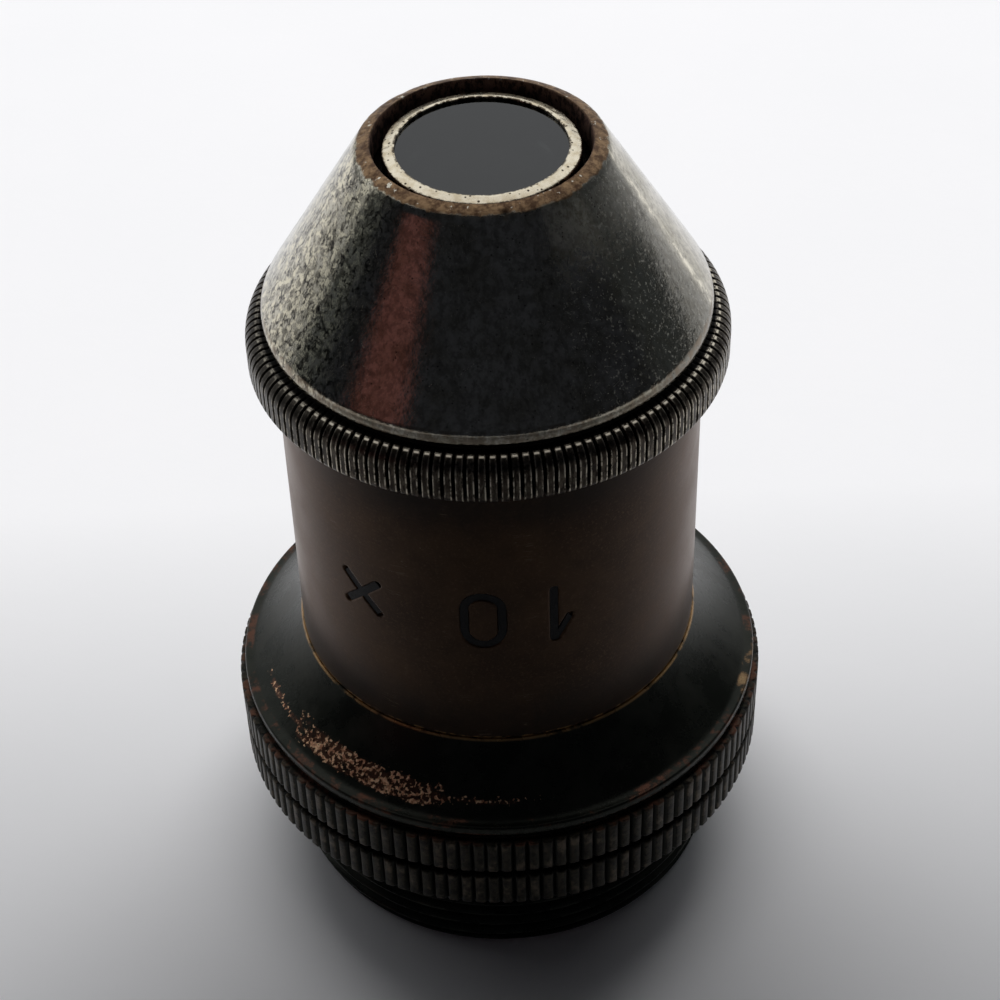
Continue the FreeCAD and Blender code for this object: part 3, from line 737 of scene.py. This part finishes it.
def plate_colour(paint, stain, mottle):
    """Stained plate: cream grains on the left flank, a dull right flank with a painted highlight
    line.
    """
    handled = paint.inside(paint.azimuth, -175, -40, 9)
    nickel = paint.blend(stain, (0.52, 0.49, 0.41), (0.34, 0.315, 0.24))
    dull = paint.math("MULTIPLY", paint.inside(paint.azimuth, 46, 79, 4), 0.75)
    nickel = paint.blend(dull, nickel, (0.15, 0.15, 0.14))
    dark = paint.both(mottle, paint.between(handled, 0.5, 0.82))
    nickel = paint.blend(dark, nickel, (0.13, 0.118, 0.09))
    cream = paint.both(paint.inside(paint.azimuth, -100, -44, 9),
                       paint.step(paint.noise(2.8, 4.0, 0.65), 0.5, 0.58))
    nickel = paint.blend(cream, nickel, (0.66, 0.61, 0.47))
    nickel = paint.blend(paint.math("MULTIPLY", flecks_of(paint), 0.5), nickel,
                         (0.60, 0.58, 0.50))
    # painted highlight: a thin bright line down the cone's right flank
    highlight_line = paint.both(paint.inside(paint.azimuth, 80, 82.5, 1.5),
                       paint.step(paint.noise(1.4, 5.0, 0.7), 0.44, 0.56))
    nickel = paint.blend(highlight_line, nickel, (0.85, 0.80, 0.66))
    pits = paint.both(paint.step(paint.cells(4.5), 0.2, 0.08),
                      paint.step(paint.noise(1.1, 4.0), 0.44, 0.6))
    cracks = paint.both(paint.wiggles(2.4, (1, 1, 0.7), 0.075),
                        paint.step(paint.noise(2.9, 3.0), 0.47, 0.55),
                        paint.between(handled, 0.25, 1.0))
    return paint.blend(paint.either(pits, cracks), nickel, (0.03, 0.026, 0.022))


def nickel_ring(paint, nickel, rough, stain):
    """Worn tooth edges and dirt on dull plate, with painted highlights and painted shade in the
    gaps and seam.
    """
    ring = paint.step(paint.height, RING_TOP + 0.19, RING_TOP - 0.01)
    grime = paint.step(paint.noise(6.5, 4.0, 0.7, (1, 1, 0.35)), 0.40, 0.58)
    centre = paint.both(paint.step(paint.groove(), 0.34, 0.2),
                        paint.step(paint.noise(1.6, 4.0, 0.6), 0.36, 0.56))
    grime = paint.either(grime, paint.math("MULTIPLY", centre, 0.8))
    dull = paint.blend(stain, (0.13, 0.112, 0.088), (0.085, 0.066, 0.05))
    dull = paint.blend(grime, dull, (0.03, 0.024, 0.019))
    chipped = paint.step(paint.noise(5.0, 4.0, 0.75, (1, 1, 0.5)), 0.44, 0.56)
    # worn tooth edges, partly painted light: the edge lines are drawn brighter low on the ring
    low = paint.between(paint.step(paint.height, 29.8, 29.3), 0.35, 1.0)
    edges = paint.both(paint.inside(paint.groove(), 0.44, 0.66, 0.08), chipped, low)
    # painted highlight: a bright tick on the shoulder of each tooth
    tooth_top_highlight = paint.both(paint.inside(paint.radius, 9.55, 9.64, 0.02),
                      paint.step(paint.groove(), 0.5, 0.42))
    # painted highlight: a thin bright line round the ring's inner top edge
    line = paint.both(paint.inside(paint.radius, 9.49, 9.525, 0.01), chipped)
    dull = paint.blend(paint.either(edges, tooth_top_highlight, line), dull, (0.74, 0.67, 0.54))
    # painted shade: the ring's left side made darker
    left_shade = paint.both(paint.inside(paint.azimuth, -140, -46, 14),
                        paint.between(chipped, 0.85, 0.6))
    dull = paint.blend(left_shade, dull, (0.035, 0.031, 0.026))
    nickel = paint.blend(ring, nickel, dull)
    # painted shade: near-black in the roots of the gaps, in the seam groove and along the seam's
    # band
    painted_shade = paint.step(paint.groove(), 0.70, 0.86)
    seam = paint.both(paint.inside(paint.height, 30.0, 30.46, 0.03),
                      paint.step(paint.radius, 9.45, 9.42))
    black = paint.both(ring, paint.either(painted_shade, seam))
    black = paint.either(black, paint.inside(paint.height, 30.16, 30.46, 0.02))
    nickel = paint.blend(black, nickel, (0.010, 0.009, 0.008))
    rough = paint.between(ring, rough, 0.34)
    return nickel, paint.between(black, rough, 0.6)


def bare_rim(paint, nickel, rough):
    """Brown brass where handling has worn the plate off the tip, and a browned bead."""
    bead = paint.both(paint.inside(paint.height, 30.46, 31.02, 0.02),
                      paint.step(paint.noise(2.6, 6.0, 0.7), 0.40, 0.56))
    nickel = paint.blend(paint.math("MULTIPLY", bead, 0.7), nickel, (0.20, 0.155, 0.11))
    edge = paint.math("ADD", paint.height, paint.math("MULTIPLY", paint.noise(2.2, 5.0), 0.3))
    rim = paint.step(edge, CONE_TOP + 0.10, CONE_TOP + 0.17)
    brown = paint.blend(paint.step(paint.noise(3.0, 6.0, 0.7), 0.38, 0.64),
                        (0.13, 0.075, 0.045), (0.40, 0.26, 0.145))
    chips = paint.step(paint.noise(3.6, 4.0, 0.6), 0.645, 0.675)
    brown = paint.blend(chips, brown, (0.85, 0.80, 0.68))
    return paint.blend(rim, nickel, brown), paint.between(rim, rough, 0.5)


def cap_inside(paint):
    """1 on the blackened inside of the cap: below the rim's recess and inside its wall."""
    cone = paint.math("ADD", paint.radius, paint.math("MULTIPLY", paint.height, CONE_SLOPE))
    under_plate = paint.step(cone, CONE_TIP + CONE_TOP * CONE_SLOPE - 0.39,
                             CONE_TIP + CONE_TOP * CONE_SLOPE - 0.59)
    inner = paint.both(under_plate, paint.step(paint.radius, BARREL, BARREL - 0.05))
    recess = paint.both(paint.step(paint.radius, 4.5, 4.42),
                        paint.step(paint.height, CONE_TOP + 0.1, CONE_TOP - 0.1))
    return paint.either(inner, recess)


def silvered_cell():
    """Cream silvering, burnished and specked with tarnish, with painted shade inside and below."""
    paint = Paint("silvered_cell", metallic=1.0)
    specks = paint.step(paint.cells(3.6), 0.24, 0.12)
    tarnish = paint.step(paint.noise(2.2, 6.0, 0.7), 0.42, 0.64)
    silver = paint.blend(tarnish, (0.97, 0.87, 0.68), (0.80, 0.68, 0.48))
    bezel_edges = paint.either(paint.step(paint.radius, 3.56, 3.46),
                               paint.step(paint.radius, 3.82, 3.93))
    edges = paint.both(bezel_edges, paint.step(paint.noise(3.0, 5.0, 0.7), 0.46, 0.54))
    silver = paint.blend(paint.either(specks, edges), silver, (0.10, 0.075, 0.05))
    # painted shade: near-black on the part of the cell sunk below the cap's rim
    sunk_shade = paint.step(paint.height, CONE_TOP - 0.3, CONE_TOP - 0.5)
    silver = paint.blend(sunk_shade, silver, (0.015, 0.013, 0.011))
    paint.relief((paint.noise(5.0, 6.0, 0.7), 0.012), (specks, -0.01))
    return paint.finish(silver, paint.between(tarnish, 0.24, 0.34))


def barrel_lacquer():
    """Dark brown lacquer over brass, worn at the edges, faintly streaked and scuffed."""
    paint = Paint("barrel_lacquer", metallic=0.5)
    paint.shader.inputs["Specular IOR Level"].default_value = 0.2
    paint.shader.inputs["Specular Tint"].default_value = (1.0, 0.86, 0.79, 1.0)
    cloud = paint.step(paint.noise(0.3, 6.0, 0.65), 0.34, 0.66)
    grain = paint.noise(8.0, 4.0, 0.7)
    brown = paint.blend(cloud, (0.027, 0.014, 0.007), (0.050, 0.027, 0.013))
    brown = paint.blend(paint.step(grain, 0.5, 0.8), brown, (0.085, 0.052, 0.030))
    # painted shade: the tube darker under the nose cap and just above the foot
    painted_shade = paint.either(paint.step(paint.height, 24.8, 27.0), paint.step(paint.height, 17.0, 14.0))
    painted_shade = paint.both(painted_shade, paint.between(cloud, 0.9, 0.6))
    brown = paint.blend(painted_shade, brown, (0.009, 0.007, 0.006))
    marks = paint.both(paint.wiggles(0.5, (1, 1, 9), 0.012),
                       paint.step(paint.noise(0.6, 3.0), 0.6, 0.7))
    brown = paint.blend(marks, brown, (0.10, 0.075, 0.052))
    edge = paint.either(paint.step(paint.height, 13.48, 13.38),
                        paint.inside(paint.height, BARREL_TOP - 0.07, BARREL_TOP, 0.03))
    worn = paint.both(edge, paint.step(paint.noise(2.0, 4.0), 0.45, 0.6))
    brown = paint.blend(worn, brown, (0.35, 0.21, 0.09))
    # painted shade: the spigot's thread darker towards its roots
    screw = paint.blend(paint.step(paint.groove(), 0.1, 0.8), (0.20, 0.135, 0.065),
                        (0.035, 0.025, 0.016))
    brown = paint.blend(paint.step(paint.height, BARREL_TOP, BARREL_TOP + 0.04), brown, screw)
    inner = paint.step(paint.radius, 8.0, 7.8)
    brown = paint.blend(inner, brown, (0.010, 0.010, 0.010))
    turning = paint.noise(1.0, 3.0, 0.5, (0.12, 0.12, 16))
    paint.relief((turning, 0.003), (grain, 0.003), (marks, -0.003))
    return paint.finish(brown, paint.between(cloud, 0.28, 0.36))


def bronzed(name, lip_wear):
    """Green-black bronzing on brass, with painted shade in the knurl roots and dull rubbed crests.
    """
    paint = Paint(name, metallic=0.7)
    paint.shader.inputs["Specular IOR Level"].default_value = 0.3
    cloud = paint.step(paint.noise(0.5, 6.0, 0.65), 0.35, 0.68)
    bronze = paint.blend(cloud, (0.014, 0.016, 0.012), (0.027, 0.028, 0.022))
    outer = paint.step(paint.radius, FLANGE - FLANGE_CUT - 0.08, FLANGE - FLANGE_CUT)
    crest = paint.both(outer, paint.step(paint.groove(), 0.4, 0.05))
    grime = paint.step(paint.noise(3.2, 5.0, 0.75), 0.42, 0.6)
    bronze = paint.blend(crest, bronze, paint.blend(grime, (0.034, 0.029, 0.020),
                                                    (0.010, 0.009, 0.007)))
    rubbed = paint.both(crest, paint.step(paint.noise(1.2, 6.0, 0.7), 0.5, 0.66))
    bronze = paint.blend(rubbed, bronze, (0.095, 0.075, 0.055))
    # painted shade: near-black in the roots of the knurls and the base thread
    shaded_root = paint.step(paint.groove(), 0.1, 0.9)
    bronze = paint.blend(shaded_root, bronze, (0.008, 0.008, 0.007))
    inner = paint.step(paint.radius, BARREL, BARREL - 0.05)
    bronze = paint.blend(inner, bronze, (0.014, 0.013, 0.012))
    rough = paint.between(cloud, 0.24, 0.34)
    rough = paint.between(paint.either(shaded_root, crest), rough, 0.45)
    if lip_wear:
        bronze, rough = worn_lip(paint, bronze, rough)
    paint.relief((paint.noise(1.6, 6.0, 0.6), 0.006), (paint.noise(6.0, 6.0, 0.7), 0.009))
    return paint.finish(bronze, rough)


def worn_lip(paint, bronze, rough):
    """Copper grains rubbed through on one side of the cove, and thin worn edge lines."""
    middle = paint.both(paint.inside(paint.azimuth, -56, -16, 6),
                        paint.inside(paint.radius, 10.42, 11.26, 0.14))
    tails = paint.both(paint.inside(paint.azimuth, -76, 6, 5),
                       paint.inside(paint.radius, 10.76, 11.02, 0.12))
    patch = paint.either(middle, paint.math("MULTIPLY", tails, 0.8))
    clumps = paint.math("ADD", paint.noise(1.5, 4.0, 0.6), paint.math("MULTIPLY", patch, 0.42))
    rust = paint.both(paint.step(clumps, 0.68, 0.9), paint.step(patch, 0.1, 0.4))
    bronze = paint.blend(rust, bronze, (0.10, 0.045, 0.028))
    grains = paint.math("ADD", paint.noise(5.6, 3.0, 0.55),
                        paint.math("MULTIPLY", clumps, 0.42))
    grains = paint.both(paint.step(grains, 0.89, 0.94), paint.step(patch, 0.02, 0.2))
    copper = paint.blend(paint.step(paint.noise(5.5, 4.0), 0.40, 0.6),
                         (0.55, 0.26, 0.15), (1.0, 0.68, 0.42))
    bronze = paint.blend(grains, bronze, copper)
    lip = paint.both(paint.inside(paint.height, LIP_TOP - 0.13, LIP_TOP + 0.05, 0.04),
                     paint.step(paint.noise(0.9, 6.0, 0.7), 0.5, 0.64))
    creases = paint.either(paint.inside(paint.height, BAND_TOP - 0.09, BAND_TOP + 0.03, 0.02),
                           paint.inside(paint.height, LIP_FLOOR - 0.02, LIP_FLOOR + 0.1, 0.02))
    creases = paint.both(creases, paint.step(paint.noise(0.7, 5.0, 0.7), 0.46, 0.62))
    bronze = paint.blend(paint.either(lip, creases), bronze, (0.105, 0.046, 0.028))
    gold = paint.both(lip, paint.inside(paint.azimuth, 66, 84, 6))
    bronze = paint.blend(gold, bronze, (0.26, 0.17, 0.085))
    foot = paint.both(paint.step(paint.height, 13.18, 13.27),
                      paint.step(paint.noise(0.8, 5.0), 0.34, 0.5))
    bronze = paint.blend(foot, bronze, (0.33, 0.20, 0.085))
    return bronze, paint.between(grains, rough, 0.5)


def simple_metal(name, colour, dull, roughness, grain):
    """Turned metal with a dull film in clouds and fine circular tool marks."""
    paint = Paint(name, metallic=1.0)
    cloud = paint.step(paint.noise(0.9, 6.0, 0.65), 0.35, 0.68)
    turning = paint.noise(1.0, 3.0, 0.5, (0.2, 0.2, 18))
    paint.relief((turning, grain), (paint.noise(7.0, 5.0), grain))
    return paint.finish(paint.blend(cloud, colour, dull),
                        paint.between(cloud, roughness, roughness + 0.15))


def engraving_wax():
    """Black wax, slightly lumpy and dusty."""
    paint = Paint("engraving_wax")
    paint.shader.inputs["Specular IOR Level"].default_value = 0.2
    lumps = paint.noise(6.0, 5.0, 0.7)
    paint.relief((lumps, 0.02))
    return paint.finish(paint.blend(paint.step(lumps, 0.5, 0.75), (0.004, 0.004, 0.005),
                                    (0.012, 0.011, 0.011)), 0.6)


def lens_glass(name, tint, index):
    """Polished optical glass with a trace of dust."""
    paint = Paint(name)
    paint.shader.inputs["Transmission Weight"].default_value = 1.0
    paint.shader.inputs["IOR"].default_value = index
    dust = paint.step(paint.noise(3.5, 6.0, 0.75), 0.62, 0.76)
    return paint.finish(tint, paint.between(dust, 0.03, 0.16))


def dress(piece, material):
    piece.data.materials.clear()
    piece.data.materials.append(material)


# ---------------------------------------------------------------- stage, light and camera

def sheet_material():
    """Pale matt paper with a faint mottle."""
    paint = Paint("pale_sheet")
    mottle = paint.noise(0.05, 4.0, 0.6)
    paint.relief((paint.noise(0.8, 5.0, 0.6), 0.012))
    return paint.finish(paint.blend(mottle, (0.86, 0.85, 0.86), (0.82, 0.82, 0.83)), 0.8)


def flat_card(name, x_range, y_range, height):
    """A level rectangle that is only scenery."""
    left, right = (x * MM for x in x_range)
    near, far = (y * MM for y in y_range)
    level = height * MM
    mesh = bpy.data.meshes.new(name)
    mesh.from_pydata([(left, near, level), (right, near, level), (right, far, level),
                      (left, far, level)], [], [(0, 1, 2, 3)])
    card = bpy.data.objects.new(name, mesh)
    bpy.context.scene.collection.objects.link(card)
    return card


def floor():
    """The sheet that the objective stands on."""
    sheet = flat_card("floor", (-900, 900), (-900, 900), 0)
    dress(sheet, sheet_material())


def flag():
    """A black card held level above the camera; it keeps the lamp off the near sheet."""
    card = flat_card("flag", (-110, 110), (-250, 24), 100)
    paint = Paint("black_card")
    dress(card, paint.finish((0.01, 0.01, 0.012), 0.9))
    card.visible_camera = False
    card.visible_glossy = False


def studio():
    """A bright room behind and to the left, and a dark one on the camera's side."""
    world = bpy.data.worlds.new("studio")
    world.use_nodes = True
    sky = Nodes(world.node_tree)
    split = sky.tree.nodes.new("ShaderNodeSeparateXYZ")
    coords = sky.tree.nodes.new("ShaderNodeTexCoord")
    sky.tree.links.new(coords.outputs["Generated"], split.inputs[0])
    x, y, z = split.outputs
    azimuth = sky.azimuth_of(x, y)
    back = sky.blend(sky.step(z, 0.0, 0.5), (0.50, 0.51, 0.52), (0.76, 0.78, 0.80))
    sides = sky.either(sky.step(azimuth, 78, 92), sky.step(azimuth, -82, -96))
    front = sky.blend(sides, (0.021, 0.023, 0.029), (0.080, 0.088, 0.092))
    shade = sky.blend(sky.inside(azimuth, -105, 126, 4), back, front)
    warm = sky.both(sky.inside(azimuth, -67, -42, 4), sky.inside(z, 0.12, 0.42, 0.1))
    shade = sky.blend(warm, shade, (0.14, 0.060, 0.058))
    ceiling = sky.blend(sky.step(y, -0.08, 0.2), (0.03, 0.03, 0.034), (0.62, 0.62, 0.63))
    shade = sky.blend(sky.step(z, 0.7, 0.95), shade, ceiling)
    sky.feed(sky.tree.nodes["Background"].inputs["Color"], shade)
    bpy.context.scene.world = world


def overhead_light():
    """A large lamp above and behind, left out of the bright reflections the room gives."""
    place = (0, 160, 500)
    width, depth, watts = 500, 250, 2.7
    light = bpy.data.lights.new("overhead", "AREA")
    light.shape = "RECTANGLE"
    light.size = width * MM
    light.size_y = depth * MM
    light.energy = watts
    lamp = bpy.data.objects.new("overhead", light)
    lamp.location = [value * MM for value in place]
    lamp.visible_glossy = False
    lamp.visible_transmission = False
    bpy.context.scene.collection.objects.link(lamp)


def camera():
    """A phone held close, above and in front, looking down at 42 degrees."""
    place = Vector((0.0, -74.59, 87.08)) * MM
    pan, tilt, roll = (math.radians(angle) for angle in (-0.2, 42.34, -1.86))
    optics = bpy.data.cameras.new("camera")
    optics.sensor_width = 36
    optics.lens = 81.3
    optics.clip_start = 0.005
    optics.clip_end = 5.0
    eye = bpy.data.objects.new("camera", optics)
    turn = (Matrix.Rotation(pan, 4, "Z") @ Matrix.Rotation(math.pi / 2 - tilt, 4, "X")
            @ Matrix.Rotation(roll, 4, "Z"))
    eye.matrix_world = Matrix.Translation(place) @ turn
    bpy.context.scene.collection.objects.link(eye)
    bpy.context.scene.camera = eye


# ---------------------------------------------------------------- the whole scene

def outer_pieces():
    """The five outer pieces, modelled again with their teeth, screws, mark and wear."""
    dress(thread_adapter(), bronzed("bronzed_adapter", lip_wear=False))
    dress(barrel_collar(), bronzed("bronzed_collar", lip_wear=True))
    dress(barrel_tube(), barrel_lacquer())
    dress(nose_cap(), nickel_plate())
    dress(front_cell(), silvered_cell())


def inner_looks():
    """Materials of the inner pieces and the wax, by the record's slot."""
    return {
        "blackened_brass": simple_metal("blackened_brass", (0.02, 0.02, 0.02),
                                        (0.035, 0.033, 0.03), 0.5, 0.004),
        "bare_brass": simple_metal("bare_brass", (0.62, 0.44, 0.20), (0.34, 0.24, 0.13),
                                   0.25, 0.004),
        "spring_steel": simple_metal("spring_steel", (0.42, 0.42, 0.43), (0.2, 0.18, 0.16),
                                     0.3, 0.003),
        # painted shade: the flint's near-black tint and the crown's grey one stand in for the dark
        # tube seen through the lenses
        "flint_glass": lens_glass("flint_glass", (0.012, 0.014, 0.013), 1.60),
        "crown_glass": lens_glass("crown_glass", (0.30, 0.33, 0.32), 1.52),
        "engraving_wax": engraving_wax(),
    }


def main():
    outer_pieces()
    looks = inner_looks()
    for node, body, material, *shape in LENSES:
        dress(lens(node, body, material, *shape), looks[material])
    ground = [entry[0] for entry in LENSES]
    for entry in frame["record"]["subparts"]:
        if entry["material_slot"] in looks and entry["node"] not in ground:
            dress(frame["nodes"][entry["node"]], looks[entry["material_slot"]])
    floor()
    studio()
    overhead_light()
    flag()
    camera()
    bpy.context.scene.view_settings.view_transform = "Standard"


main()
